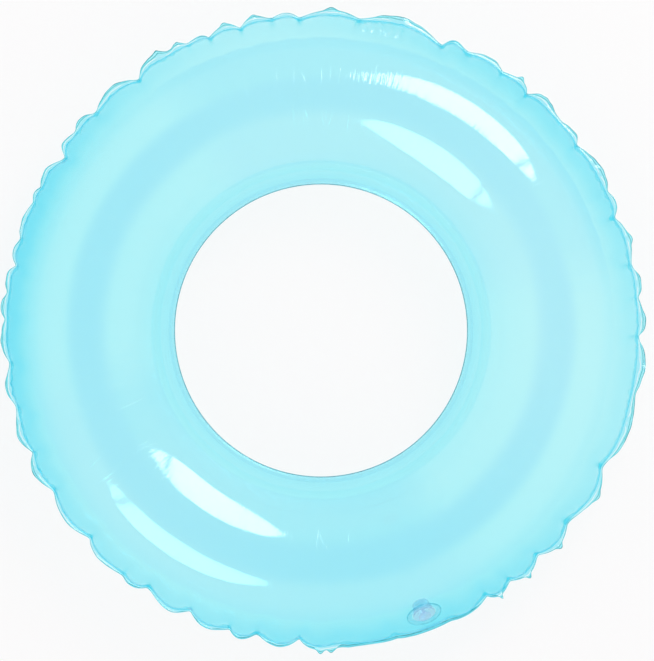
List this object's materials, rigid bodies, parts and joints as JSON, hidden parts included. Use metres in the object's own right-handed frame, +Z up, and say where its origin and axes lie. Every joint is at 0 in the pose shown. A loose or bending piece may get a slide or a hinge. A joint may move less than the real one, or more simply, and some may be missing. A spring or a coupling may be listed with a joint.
{
  "type": "swim ring",
  "caption": "Round inflatable swim ring of see-through blue film, with a scalloped welded rim and a push-in air valve with stopper.",
  "frame": {"origin": "centre of the ring on the surface it lies on, below the middle of the hole", "axes": "+Z up through the hole, the face with the valve up; the valve lies 70 degrees clockwise from +X seen from above"},
  "size_m": [0.6075, 0.6087, 0.1416],
  "materials": {
    "blue_film": "glossy, see-through blue-tinted PVC film",
    "weld_band": "two films fused, finely pressed, deeper blue",
    "clear_valve_plastic": "soft clear moulded PVC",
    "milky_stopper_plastic": "soft milky moulded PVC"
  },
  "bodies": {
    "ring": {"upper_panel": "blue_film", "lower_panel": "blue_film", "outer_weld_seam": "weld_band", "inner_weld_seam": "weld_band", "valve_flange": "clear_valve_plastic", "valve_web": "clear_valve_plastic"},
    "stem": {"valve_stem": "clear_valve_plastic", "stopper_strap": "milky_stopper_plastic"},
    "stopper": {"stopper": "milky_stopper_plastic"},
    "flap": {"check_flap": "clear_valve_plastic"}
  },
  "joints": [
    {"name": "valve_slide", "type": "slide", "parent": "ring", "child": "stem", "axis": [0.2814, -0.7731, 0.5685], "range_m": [0, 0.012], "deforming": ["valve_web"]},
    {"name": "stopper_hinge", "type": "hinge", "parent": "stem", "child": "stopper", "pos_m": [0.09587, -0.2634, 0.11847], "axis": [-0.9397, -0.342, 0], "range_deg": [0, 100], "deforming": ["stopper_strap"]},
    {"name": "flap_hinge", "type": "hinge", "parent": "stem", "child": "flap", "pos_m": [0.09315, -0.25591, 0.10802], "axis": [0.9397, 0.342, 0], "range_deg": [0, 40], "stiffness_Nm_per_rad": 0.0001}
  ]
}
